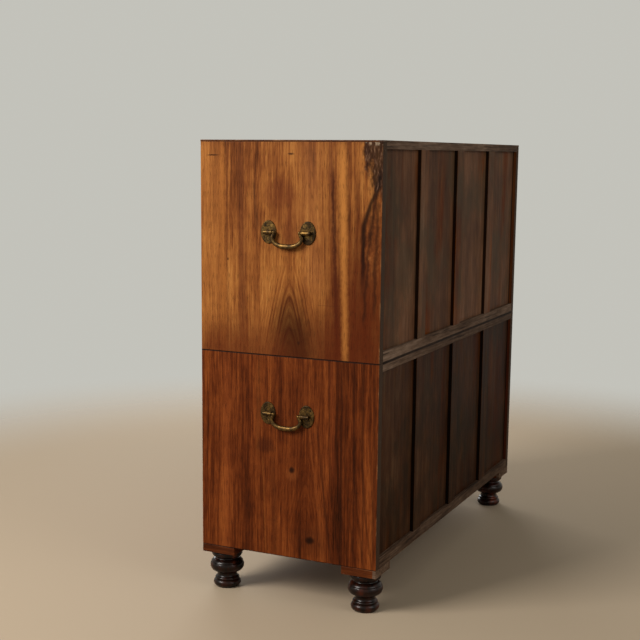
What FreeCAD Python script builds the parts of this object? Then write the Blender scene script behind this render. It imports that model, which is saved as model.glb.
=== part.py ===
import FreeCAD, Part
import math
import os
import re
import Sketcher

# A campaign chest of drawers in two cases, one standing on the other, on turned feet.
# Sizes are in millimetres. The origin is on the floor under the middle of the chest:
# X runs along its width, Y from the drawer fronts to the back, and Z up.

doc = FreeCAD.newDocument("campaign_chest")
sheet = doc.addObject("Spreadsheet::Sheet", "Sizes")

sizes = {
    # the outside of the chest, and the heights where its parts meet
    "case_width": 996,
    "case_depth": 428,
    "total_height": 1016,
    "joint_height": 555,
    "underside_height": 105,
    # the boards of the two cases
    "side_board": 19,
    "top_board": 18,
    "top_lap": 4,
    "upper_bottom_board": 24,
    "lower_top_board": 19,
    "lower_bottom_board": 25,
    "blade_thickness": 19,
    "blade_depth": 62,
    "dustboard_thickness": 10,
    "housing_depth": 8,
    "partition_thickness": 19,
    "partition_groove": 4,
    "short_row_height": 175,
    "middle_row_height": 185,
    # the dovetails at the corners of the cases
    "case_tail_length": 14,
    "case_pin_narrow": 8,
    "case_pin_wide": 18,
    # the panelled backs
    "muntin_width": 48.6,
    "back_recess": 8,
    "panel_tongue": 6,
    "panel_backing": 8,
    "panel_let_in": 6,
    # the dowels that keep the upper case in place
    "dowel_radius": 8,
    "dowel_length": 22,
    "dowel_sunk": 12,
    "dowel_inset": 60,
    "dowel_play": 0.5,
    "glue_gap": 0.1,
    # the worn edges of the boards
    "case_wear": 1.2,
    "back_wear": 0.9,
    "front_wear": 0.6,
    "plate_wear": 0.5,
    # the blocks and the turned feet
    "block_width": 82,
    "block_thickness": 18,
    "tenon_radius": 12.5,
    "tenon_length": 32,
    "collar_radius": 31,
    "collar_round": 8.7,
    "collar_height": 15,
    "neck_radius": 27,
    "neck_step": 1,
    "neck_height": 5,
    "neck_flare": 2,
    "neck_round": 3,
    "shoulder_radius": 36.2,
    "shoulder_height": 6,
    "shoulder_round": 12,
    "quirk": 0.9,
    "bulb_top_radius": 36.8,
    "bulb_low_radius": 30,
    "bulb_height": 21,
    "bulb_round": 14.5,
    "waist_low_radius": 25.5,
    "waist_height": 13.5,
    "waist_round": 7.4,
    "ring_height": 6,
    "ring_round": 3.4,
    "ring_low_radius": 26.3,
    "disc_top_radius": 28,
    "disc_round": 9,
    "disc_low_radius": 26.5,
    "base_radius": 25.8,
    "base_height": 1.5,
    # the drawers
    "drawer_gap": 1.2,
    "running_gap": 0.3,
    "drawer_back_gap": 0.5,
    "drawer_front": 20,
    "drawer_side": 10,
    "drawer_back": 10,
    "drawer_bottom": 7,
    "drawer_bottom_rise": 10,
    "drawer_groove": 5,
    "drawer_side_drop": 3,
    "drawer_back_drop": 6,
    "drawer_tail_length": 14,
    "drawer_pin_narrow": 6,
    "drawer_pin_wide": 14,
    # the sunk brass pulls of the drawers
    "pull_inset": 210,
    "pull_drop": 8,
    "pull_plate_width": 90,
    "pull_plate_height": 56,
    "pull_plate": 2,
    "cup_width": 66,
    "cup_height": 40,
    "cup_depth": 10,
    "cup_wall": 3,
    "cup_floor": 1.5,
    "pull_arm": 27,
    "pull_bar_radius": 2.5,
    "pull_length": 26,
    "pull_bend": 7,
    "pull_pivot_rise": 12,
    "pull_pivot_depth": 3.4,
    "pull_pin_radius": 1.5,
    "pull_pin_in": 2.2,
    "pin_clearance": 0.1,
    # the drawer locks
    "lock_width": 62,
    "lock_height": 40,
    "lock_depth": 10,
    "lock_drop": 6,
    "keyhole_drop": 30,
    "keyhole_radius": 3.5,
    "keyhole_slot": 3,
    "keyhole_length": 9,
    "escutcheon_radius": 10,
    "escutcheon_thickness": 1.2,
    # the carrying handles on the two ends
    "upper_handle_height": 822,
    "lower_handle_height": 427,
    "rosette_spread": 93,
    "rosette_width": 37,
    "rosette_height": 50,
    "rosette_end_radius": 14.5,
    "rosette_thickness": 2.5,
    "rosette_round": 1.6,
    "handle_out": 8,
    "barrel_inner": 35,
    "barrel_length": 20,
    "barrel_radius": 4.5,
    "boss_half_height": 3.2,
    "handle_pin_radius": 2.6,
    "handle_pin_end": 50,
    "bead_place": 30.4,
    "bead_radius": 4,
    "handle_end_radius": 3.5,
    "handle_middle_radius": 4.8,
    "handle_drop": 29.5,
    "handle_bulge": 36,
    "handle_bend": 14,
    "handle_neck": 2,
    # the screws of the carrying handles
    "screw_shank_radius": 1.8,
    "screw_length": 15,
    "screw_head_radius": 3.5,
    "screw_head": 1.1,
    "screw_slot": 0.9,
    "screw_sunk": 1.4,
    "screw_seat_radius": 3.8,
    "screw_side": 8,
    "screw_rise": 14.5,
    "screw_fall": 13.5,
}
for row, (name, size) in enumerate(sizes.items(), start=1):
    sheet.set(f"A{row}", name)
    sheet.set(f"B{row}", str(size))
    sheet.setAlias(f"B{row}", name)
doc.recompute()

case_tail_count = 6
drawer_tail_count = 4
back_panel_count = 4

# two places nearer than this are the same place
tolerance = 0.001

kept = []
cuts = []


def cells(formula):
    """Point each size named in a formula at its cell in the sheet."""
    return re.sub(r"[a-z][a-z_]+", lambda word: "Sizes." + word.group(), formula)


def number(formula):
    return float(sheet.evalExpression(cells(formula)))


def place(piece, x, y, z):
    for axis, formula in zip("xyz", (x, y, z)):
        piece.setExpression(f"Placement.Base.{axis}", cells(formula))


def keep(piece, label):
    """Mark a finished sub-part, which is saved under its label."""
    piece.Label = label
    kept.append(piece)
    return piece


def new_body(name, x, y, z):
    body = doc.addObject("PartDesign::Body", name)
    place(body, x, y, z)
    return body


def point_ties(geometry, end, u, v):
    """Constraints, with their formulas, that hold one point of a sketch at (u, v)."""
    return [
        (Sketcher.Constraint(kind, -1, 1, geometry, end, number(formula)), formula)
        for kind, formula in (("DistanceX", u), ("DistanceY", v))
    ]


def radius_tie(geometry, radius):
    return (Sketcher.Constraint("Radius", geometry, number(radius)), radius)


def tie(sketch, ties):
    """Add constraints that follow formulas."""
    start = sketch.ConstraintCount
    sketch.addConstraint([constraint for constraint, formula in ties])
    for index, (constraint, formula) in enumerate(ties, start=start):
        sketch.setExpression(f"Constraints[{index}]", cells(formula))


def new_sketch(body, plane, lift):
    sketch = body.newObject("Sketcher::SketchObject", f"{body.Name}_sketch")
    origin = [item for item in body.Origin.OriginFeatures if item.Role == plane + "_Plane"]
    sketch.AttachmentSupport = (origin[0], [""])
    sketch.MapMode = "FlatFace"
    sketch.setExpression("AttachmentOffset.Base.z", cells(lift))
    return sketch


def arc_between(start, end, radius, side):
    """A minor arc. side is 1 where it bulges to the left of the way it runs, else -1."""
    middle = (start + end) * 0.5
    chord = end - start
    left = FreeCAD.Vector(-chord.y, chord.x, 0).normalize()
    back_off = math.sqrt(max(radius ** 2 - (chord.Length / 2) ** 2, 0))
    centre = middle - left * (side * back_off)
    first, last = (start, end) if side < 0 else (end, start)
    angles = [math.atan2(point.y - centre.y, point.x - centre.x) for point in (first, last)]
    circle = Part.Circle(centre, FreeCAD.Vector(0, 0, 1), radius)
    return Part.ArcOfCircle(circle, angles[0], angles[1])


def outline_sketch(body, plane, outlines, lift="0"):
    """Closed outlines. A point is (u, v), or (u, v, radius, side) where an arc leaves it."""
    sketch = new_sketch(body, plane, lift)
    curves = []
    joints = []
    ties = []
    for points in outlines:
        places = [FreeCAD.Vector(number(point[0]), number(point[1]), 0) for point in points]
        first = len(curves)
        ends = []
        for index, point in enumerate(points):
            start = places[index]
            end = places[(index + 1) % len(points)]
            if len(point) == 2:
                curves.append(Part.LineSegment(start, end))
                ends.append((1, 2))
            else:
                radius, side = point[2], point[3]
                curves.append(arc_between(start, end, number(radius), side))
                ends.append((2, 1) if side > 0 else (1, 2))
                ties.append(radius_tie(first + index, radius))
        for index, point in enumerate(points):
            following = (index + 1) % len(points)
            joints.append(
                Sketcher.Constraint(
                    "Coincident", first + index, ends[index][1], first + following, ends[following][0]
                )
            )
            ties += point_ties(first + index, ends[index][0], point[0], point[1])
    sketch.addGeometry(curves, False)
    sketch.addConstraint(joints)
    tie(sketch, ties)
    return sketch


def circle_sketch(body, plane, circles, lift="0"):
    """Circles, each (u, v, radius)."""
    sketch = new_sketch(body, plane, lift)
    up = FreeCAD.Vector(0, 0, 1)
    ties = []
    for index, (u, v, radius) in enumerate(circles):
        centre = FreeCAD.Vector(number(u), number(v), 0)
        sketch.addGeometry(Part.Circle(centre, up, number(radius)), False)
        ties += point_ties(index, 3, u, v)
        ties.append(radius_tie(index, radius))
    tie(sketch, ties)
    return sketch


def path_sketch(body, plane, route):
    """An open path. A point is (u, v), or (u, v, radius, side) where an arc leaves it."""
    sketch = new_sketch(body, plane, "0")
    places = [FreeCAD.Vector(number(point[0]), number(point[1]), 0) for point in route]
    ends = []
    ties = []
    for index, point in enumerate(route[:-1]):
        if len(point) == 2:
            sketch.addGeometry(Part.LineSegment(places[index], places[index + 1]), False)
            ends.append((1, 2))
        else:
            radius, side = point[2], point[3]
            sketch.addGeometry(arc_between(places[index], places[index + 1], number(radius), side), False)
            ends.append((2, 1) if side > 0 else (1, 2))
            ties.append(radius_tie(index, radius))
        ties += point_ties(index, ends[index][0], point[0], point[1])
        if index:
            sketch.addConstraint(
                Sketcher.Constraint("Coincident", index - 1, ends[index - 1][1], index, ends[index][0])
            )
    ties += point_ties(len(ends) - 1, ends[-1][1], *route[-1])
    tie(sketch, ties)
    return sketch


def rectangle(left, right, low, high):
    return [(left, low), (right, low), (right, high), (left, high)]


def pad(body, sketch, length, reverse=False):
    feature = body.newObject("PartDesign::Pad", f"{body.Name}_pad")
    feature.Profile = sketch
    feature.setExpression("Length", cells(length))
    feature.Reversed = reverse
    return feature


def pocket(body, sketch, depth, reverse=False):
    feature = body.newObject("PartDesign::Pocket", f"{body.Name}_pocket")
    feature.Profile = sketch
    feature.setExpression("Length", cells(depth))
    feature.Reversed = reverse
    cuts.append(feature)
    return feature


def soften(body, radius, faces, along="xyz"):
    """Round the edges of some outer faces, each (axis, place), that run along the given axes.

    With no axes it rounds the curved edges of those faces."""
    doc.recompute()
    base = body.Tip
    chosen = set()
    for index, edge in enumerate(base.Shape.Edges, start=1):
        if not isinstance(edge.Curve, Part.Line):
            if along:
                continue
        elif not any(abs(getattr(edge.Curve.Direction, axis)) > 1 - tolerance for axis in along):
            continue
        for axis, where in faces:
            spots = [getattr(vertex.Point, axis) for vertex in edge.Vertexes]
            if max(abs(spot - number(where)) for spot in spots) < tolerance:
                chosen.add(f"Edge{index}")
    rounding = body.newObject("PartDesign::Fillet", f"{body.Name}_worn_edges")
    rounding.Base = (base, sorted(chosen))
    rounding.setExpression("Radius", cells(radius))
    return rounding


def box(name, low, high):
    """A plain block between two corners."""
    piece = doc.addObject("Part::Box", name)
    for side, first, last in zip(("Length", "Width", "Height"), low, high):
        piece.setExpression(side, cells(f"({last}) - ({first})"))
    place(piece, *low)
    return piece


def rod(name, radius, length, x, y, z, direction):
    """A cylinder that starts at a point and runs along a direction."""
    piece = doc.addObject("Part::Cylinder", name)
    piece.setExpression("Radius", cells(radius))
    piece.setExpression("Height", cells(length))
    piece.Placement.Rotation = FreeCAD.Rotation(FreeCAD.Vector(0, 0, 1), FreeCAD.Vector(*direction))
    place(piece, x, y, z)
    return piece


def joined(name, pieces):
    union = doc.addObject("Part::MultiFuse", name)
    union.Shapes = pieces
    return union


def cut_from(name, base, tools):
    rest = doc.addObject("Part::Cut", name)
    rest.Base = base
    rest.Tool = tools[0] if len(tools) == 1 else joined(f"{name}_tools", tools)
    return rest


def mirrored(name, piece, normal, x="0"):
    image = doc.addObject("Part::Mirroring", name)
    image.Source = piece
    image.Normal = FreeCAD.Vector(*normal)
    image.setExpression("Base.x", cells(x))
    return image


def together(name, pieces):
    """Separate solids that are one sub-part."""
    group = doc.addObject("Part::Compound", name)
    group.Links = pieces
    return group


def tail_points(index, pitch, start, narrow, wide, root, tip):
    """The four corners of one dovetail, as (across, along), from its low side to its high one."""
    middle = f"({start} + {index + 0.5} * {pitch})"
    at_root = f"({pitch} / 2 - {wide} / 2)"
    at_tip = f"({pitch} / 2 - {narrow} / 2)"
    return [
        (root, f"{middle} - {at_root}"),
        (tip, f"{middle} - {at_tip}"),
        (tip, f"{middle} + {at_tip}"),
        (root, f"{middle} + {at_root}"),
    ]


left_end = "(-case_width / 2)"
right_end = "(case_width / 2)"
front_face = "(-case_depth / 2)"
back_face = "(case_depth / 2)"
inner_width = "(case_width - 2 * side_board)"
inner_left = "(-case_width / 2 + side_board)"
inner_right = "(case_width / 2 - side_board)"
back_thickness = "(back_recess + panel_tongue + panel_backing)"
inner_back = f"(case_depth / 2 - {back_thickness})"
case_pitch = f"(case_depth / {case_tail_count})"

top_underside = "(total_height - top_board)"
upper_floor = "(joint_height + upper_bottom_board)"
lower_ceiling = "(joint_height - lower_top_board)"
lower_floor = "(underside_height + lower_bottom_board)"
upper_blade_top = f"({top_underside} - short_row_height)"
lower_blade_top = f"({lower_ceiling} - middle_row_height)"
block_underside = "(underside_height - block_thickness)"


def case_tails(root, tip):
    return [
        tail_points(index, case_pitch, "0", "case_pin_narrow", "case_pin_wide", root, tip)
        for index in range(case_tail_count)
    ]


# the holes for the carrying handle's screws, as (y, z) from the middle of the handle
screw_places = [
    (f"({sign} * (rosette_spread / 2 {side} screw_side * {sideways}))", rise)
    for sign in (-1, 1)
    for side, sideways, rise in (("-", 1, "screw_rise"), ("+", 1, "screw_rise"), ("+", 0, "-screw_fall"))
]


def case_sides(name, low, high, floor_board, ceiling_board, lap, blade_top, handle_height):
    """The two ends of a case: one board, with its joints on its inner face, and its mirror image."""
    board = new_body(f"{name}_side_left", left_end, front_face, low)
    height = f"({high} - {lap} - {low})"
    pad(board, outline_sketch(board, "XY", [rectangle("0", "side_board", "0", "case_depth")]), height)
    sockets = case_tails("side_board", "(side_board - case_tail_length)")
    pocket(board, outline_sketch(board, "XY", sockets), floor_board, reverse=True)
    pocket(board, outline_sketch(board, "XY", sockets, lift=height), f"{ceiling_board} - {lap}")
    blade_high = f"({blade_top} - {low})"
    blade_housing = rectangle("0", "blade_depth", f"{blade_high} - blade_thickness", blade_high)
    pocket(board, outline_sketch(board, "YZ", [blade_housing], lift="side_board"), "housing_depth")
    dust_housing = rectangle(
        "blade_depth", f"case_depth - {back_thickness}", f"{blade_high} - dustboard_thickness", blade_high
    )
    pocket(board, outline_sketch(board, "YZ", [dust_housing], lift="side_board"), "housing_depth")
    panel_groove = rectangle(
        "case_depth - back_recess - panel_tongue",
        "case_depth - back_recess",
        f"{floor_board} - panel_let_in",
        f"{high} - {low} - {ceiling_board} + panel_let_in",
    )
    pocket(board, outline_sketch(board, "YZ", [panel_groove], lift="side_board"), "panel_let_in")
    holes = [
        (f"case_depth / 2 + {y}", f"{handle_height} - {low} + {z}", "screw_shank_radius + glue_gap")
        for y, z in screw_places
    ]
    pocket(board, circle_sketch(board, "YZ", holes), "screw_length - rosette_thickness", reverse=True)
    soften(board, "case_wear", [("x", "0"), ("y", "case_depth")])
    keep(board, f"{name}_side_left")
    keep(mirrored(f"{name}_side_right", board, (1, 0, 0)), f"{name}_side_right")


def case_board(name, low, thickness, lap, groove_above, dowel_radius, dowel_depth, partition):
    """A floor or top of a case, with dovetails at both ends and the groove for the back panels."""
    board = new_body(name, inner_left, front_face, low)
    outline = [("0", "0"), (inner_width, "0")]
    for tail in case_tails(inner_width, f"{inner_width} + case_tail_length"):
        outline += tail
    outline += [(inner_width, "case_depth"), ("0", "case_depth")]
    for tail in reversed(case_tails("0", "-case_tail_length")):
        outline += reversed(tail)
    pad(board, outline_sketch(board, "XY", [outline]), f"{thickness} - {lap}")
    if lap != "0":
        whole = rectangle("-side_board", f"{inner_width} + side_board", "0", "case_depth")
        pad(board, outline_sketch(board, "XY", [whole], lift=f"{thickness} - {lap}"), lap)
    groove = rectangle(
        "-panel_let_in",
        f"{inner_width} + panel_let_in",
        "case_depth - back_recess - panel_tongue",
        "case_depth - back_recess",
    )
    if groove_above:
        pocket(board, outline_sketch(board, "XY", [groove], lift=thickness), "panel_let_in")
    else:
        pocket(board, outline_sketch(board, "XY", [groove]), "panel_let_in", reverse=True)
    if partition:
        housing = rectangle(
            f"{inner_width} / 2 - partition_thickness / 2",
            f"{inner_width} / 2 + partition_thickness / 2",
            "0",
            f"case_depth - {back_thickness}",
        )
        pocket(board, outline_sketch(board, "XY", [housing]), "partition_groove", reverse=True)
    if dowel_radius:
        holes = [
            (f"{inner_width} / 2 + {side} * ({inner_width} / 2 - dowel_inset)",
             f"case_depth / 2 + {depth} * (case_depth / 2 - dowel_inset)", dowel_radius)
            for side in (-1, 1)
            for depth in (-1, 1)
        ]
        if groove_above:
            pocket(board, circle_sketch(board, "XY", holes), dowel_depth, reverse=True)
        else:
            pocket(board, circle_sketch(board, "XY", holes, lift=thickness), dowel_depth)
    if lap == "0":
        soften(board, "back_wear", [("y", "0"), ("y", "case_depth")], along="x")
    else:
        soften(board, "case_wear", [("z", thickness)])
    return keep(board, name)


def divider(name, blade_top, partition):
    """The front rail between two rows of drawers and the dustboard that lies behind it."""
    length = f"({inner_width} + 2 * housing_depth)"
    start = f"({inner_left} - housing_depth)"
    blade = new_body(f"{name}_blade", start, front_face, f"({blade_top} - blade_thickness)")
    pad(blade, outline_sketch(blade, "XY", [rectangle("0", length, "0", "blade_depth")]), "blade_thickness")
    soften(blade, "front_wear", [("y", "0")], along="x")
    dust_low = f"({blade_top} - dustboard_thickness)"
    dustboard = new_body(f"{name}_dustboard", start, f"({front_face} + blade_depth)", dust_low)
    dust_depth = f"(case_depth - {back_thickness} - blade_depth)"
    sheet_outline = rectangle("0", length, "0", dust_depth)
    pad(dustboard, outline_sketch(dustboard, "XY", [sheet_outline]), "dustboard_thickness")
    if partition:
        for body, thickness, depth in (
            (blade, "blade_thickness", "blade_depth"),
            (dustboard, "dustboard_thickness", dust_depth),
        ):
            housing = rectangle(
                f"{length} / 2 - partition_thickness / 2",
                f"{length} / 2 + partition_thickness / 2",
                "0",
                depth,
            )
            pocket(body, outline_sketch(body, "XY", [housing], lift=thickness), "partition_groove")
    keep(blade, f"{name}_blade")
    keep(dustboard, f"{name}_dustboard")


def panelled_back(name, floor, ceiling):
    """Three uprights and four sunk panels, which stand in grooves and are flush inside."""
    outer_groove = f"({back_face} - back_recess)"
    inner_groove = f"({outer_groove} - panel_tongue)"
    muntins = []
    for index in range(1, back_panel_count):
        left = f"({left_end} + {index} * case_width / {back_panel_count} - muntin_width / 2)"
        muntin = new_body(f"{name}_muntin", left, inner_back, floor)
        tongue = "muntin_width - panel_let_in"
        groove_low = "panel_backing"
        groove_high = "(panel_backing + panel_tongue)"
        section = [
            ("0", "0"),
            ("muntin_width", "0"),
            ("muntin_width", groove_low),
            (tongue, groove_low),
            (tongue, groove_high),
            ("muntin_width", groove_high),
            ("muntin_width", back_thickness),
            ("0", back_thickness),
            ("0", groove_high),
            ("panel_let_in", groove_high),
            ("panel_let_in", groove_low),
            ("0", groove_low),
        ]
        pad(muntin, outline_sketch(muntin, "XY", [section]), f"{ceiling} - {floor}")
        tenon = rectangle("panel_let_in", tongue, groove_low, groove_high)
        pad(
            muntin,
            outline_sketch(muntin, "XY", [tenon], lift="-panel_let_in"),
            f"{ceiling} - {floor} + 2 * panel_let_in",
        )
        soften(muntin, "back_wear", [("y", back_thickness)], along="z")
        muntins.append(muntin)
    keep(together(f"{name}_muntins", muntins), f"{name}_muntins")

    panels = []
    for index in range(back_panel_count):
        left = f"({left_end} + {index} * case_width / {back_panel_count} + muntin_width / 2)"
        right = f"({left_end} + {index + 1} * case_width / {back_panel_count} - muntin_width / 2)"
        if index == 0:
            left = inner_left
        if index == back_panel_count - 1:
            right = inner_right
        tongue = box(
            f"{name}_panel_tongue",
            (f"{left} - panel_let_in", inner_groove, f"{floor} - panel_let_in"),
            (f"{right} + panel_let_in", outer_groove, f"{ceiling} + panel_let_in"),
        )
        backing = box(f"{name}_panel_backing", (left, inner_back, floor), (right, inner_groove, ceiling))
        panels.append(joined(f"{name}_panel", [tongue, backing]))
    keep(together(f"{name}_panels", panels), f"{name}_panels")


# the upper case
case_sides(
    "upper", "joint_height", "total_height", "upper_bottom_board", "top_board", "top_lap",
    upper_blade_top, "upper_handle_height",
)
case_board("upper_top", top_underside, "top_board", "top_lap", False, None, None, True)
case_board(
    "upper_bottom", "joint_height", "upper_bottom_board", "0", True,
    "dowel_radius + dowel_play", "dowel_length - dowel_sunk + dowel_play", False,
)
divider("upper", upper_blade_top, True)
partition = box(
    "partition_board",
    ("-partition_thickness / 2", front_face, f"{upper_blade_top} - partition_groove"),
    ("partition_thickness / 2", inner_back, f"{top_underside} + partition_groove"),
)
keep(partition, "upper_partition")
panelled_back("upper", upper_floor, top_underside)

# the lower case
case_sides(
    "lower", "underside_height", "joint_height", "lower_bottom_board", "lower_top_board", "0",
    lower_blade_top, "lower_handle_height",
)
case_board(
    "lower_top", lower_ceiling, "lower_top_board", "0", False,
    "dowel_radius + glue_gap", "dowel_sunk", False,
)
divider("lower", lower_blade_top, False)
panelled_back("lower", lower_floor, lower_ceiling)
lower_bottom = case_board(
    "lower_bottom", "underside_height", "lower_bottom_board", "0", True, None, None, False
)

# the dowels stand in the top of the lower case
dowels = [
    rod("dowel", "dowel_radius", "dowel_length",
        f"{side} * ({inner_right} - dowel_inset)", f"{depth} * ({back_face} - dowel_inset)",
        "joint_height - dowel_sunk", (0, 0, 1))
    for side in (-1, 1)
    for depth in (-1, 1)
]
keep(together("dowel_set", dowels), "dowels")

# the four blocks, with the sockets of the feet, and the feet that screw into them
foot_x = "(case_width / 2 - block_width / 2)"
foot_y = "(case_depth / 2 - block_width / 2)"
foot_sockets = [
    (f"{inner_width} / 2 + {side} * {foot_x}", f"case_depth / 2 + {depth} * {foot_y}",
     "tenon_radius + glue_gap")
    for side in (-1, 1)
    for depth in (-1, 1)
]
pocket(
    lower_bottom,
    circle_sketch(lower_bottom, "XY", foot_sockets),
    "tenon_length - block_thickness + glue_gap",
    reverse=True,
)

# the turned outline, from the tenon's top down to the floor, as (radius, height below the block)
collar_low = "collar_height"
neck_low = f"({collar_low} + neck_step + neck_height)"
shoulder_low = f"({neck_low} + shoulder_height)"
bulb_top = f"({shoulder_low} + 2 * quirk)"
bulb_low = f"({bulb_top} + bulb_height)"
waist_low = f"({bulb_low} + waist_height)"
ring_low = f"({waist_low} + ring_height)"
disc_top = f"({ring_low} + quirk)"
foot_profile = [
    ("0", "-tenon_length"),
    ("tenon_radius", "-tenon_length"),
    ("tenon_radius", "0"),
    ("collar_radius", "0", "collar_round", 1),
    ("collar_radius", collar_low),
    ("neck_radius", f"{collar_low} + neck_step", "neck_round", -1),
    ("neck_radius + neck_flare", neck_low, "shoulder_round", 1),
    ("shoulder_radius", shoulder_low),
    ("shoulder_radius - quirk", f"{shoulder_low} + quirk"),
    ("bulb_top_radius", bulb_top, "bulb_round", 1),
    ("bulb_low_radius", bulb_low, "waist_round", -1),
    ("waist_low_radius", waist_low, "ring_round", 1),
    ("ring_low_radius", ring_low),
    ("disc_top_radius", disc_top, "disc_round", 1),
    ("disc_low_radius", f"{block_underside} - base_height"),
    ("base_radius", block_underside),
    ("0", block_underside),
]


def turned_foot(name, side, depth):
    foot = new_body(name, f"{side} * {foot_x}", f"{depth} * {foot_y}", block_underside)
    outline = []
    for point in foot_profile:
        outline.append((point[0], f"-({point[1]})") + point[2:])
    sketch = outline_sketch(foot, "XZ", [outline])
    turning = foot.newObject("PartDesign::Revolution", f"{name}_turning")
    turning.Profile = sketch
    turning.ReferenceAxis = (sketch, ["V_Axis"])
    turning.Angle = 360
    return keep(foot, name)


blocks = []
for side, side_name in ((-1, "left"), (1, "right")):
    for depth, depth_name in ((-1, "front"), (1, "back")):
        turned_foot(f"foot_{depth_name}_{side_name}", side, depth)
        block = new_body(
            f"block_{depth_name}_{side_name}",
            f"{side} * {foot_x} - block_width / 2",
            f"{depth} * {foot_y} - block_width / 2",
            block_underside,
        )
        square = rectangle("0", "block_width", "0", "block_width")
        pad(block, outline_sketch(block, "XY", [square]), "block_thickness")
        soften(block, "case_wear", [("z", "0"), ("z", "block_thickness"), ("x", "0"), ("x", "block_width")])
        socket = ("block_width / 2", "block_width / 2", "tenon_radius + glue_gap")
        pocket(block, circle_sketch(block, "XY", [socket]), "block_thickness", reverse=True)
        blocks.append(block)
keep(together("block_set", blocks), "foot_blocks")


def pull(name, x, z):
    """A sunk brass pull: returns its plate with the cup, and keeps the bail that swings in it."""
    cup = new_body(f"{name}_cup", x, front_face, z)
    plate = rectangle(
        "-pull_plate_width / 2", "pull_plate_width / 2", "-pull_plate_height / 2", "pull_plate_height / 2"
    )
    pad(cup, outline_sketch(cup, "XZ", [plate]), "pull_plate", reverse=True)
    soften(cup, "plate_wear", [("y", "0")])
    outside = rectangle(
        "-cup_width / 2 - cup_wall", "cup_width / 2 + cup_wall",
        "-cup_height / 2 - cup_wall", "cup_height / 2 + cup_wall",
    )
    pad(cup, outline_sketch(cup, "XZ", [outside]), "cup_depth + cup_floor", reverse=True)
    inside = rectangle("-cup_width / 2", "cup_width / 2", "-cup_height / 2", "cup_height / 2")
    pocket(cup, outline_sketch(cup, "XZ", [inside]), "cup_depth")
    pin_hole = ("pull_pivot_depth", "pull_pivot_rise", "pull_pin_radius + pin_clearance")
    pocket(
        cup,
        circle_sketch(cup, "YZ", [pin_hole], lift="cup_width / 2 + pull_pin_in + pin_clearance"),
        "cup_width + 2 * pull_pin_in + 2 * pin_clearance",
    )

    bail = new_body(f"{name}_bail", x, f"({front_face} + pull_pivot_depth)", f"({z} + pull_pivot_rise)")
    ring = circle_sketch(bail, "XY", [("-pull_arm", "0", "pull_bar_radius")], lift="pull_bar_radius")
    path = path_sketch(bail, "XZ", [
        ("-pull_arm", "pull_bar_radius"),
        ("-pull_arm", "-pull_length + pull_bend", "pull_bend", -1),
        ("-pull_arm + pull_bend", "-pull_length"),
        ("pull_arm - pull_bend", "-pull_length", "pull_bend", -1),
        ("pull_arm", "-pull_length + pull_bend"),
        ("pull_arm", "pull_bar_radius"),
    ])
    doc.recompute([ring, path])
    bar = bail.newObject("PartDesign::AdditivePipe", f"{name}_bar")
    bar.Profile = ring
    bar.Spine = (path, [])
    for side in (-1, 1):
        start = "pull_arm" if side > 0 else "-pull_arm"
        pin = circle_sketch(bail, "YZ", [("0", "0", "pull_pin_radius")], lift=start)
        pad(bail, pin, "cup_width / 2 + pull_pin_in - pull_arm", reverse=side < 0)
    return cup, keep(bail, name)


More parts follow.
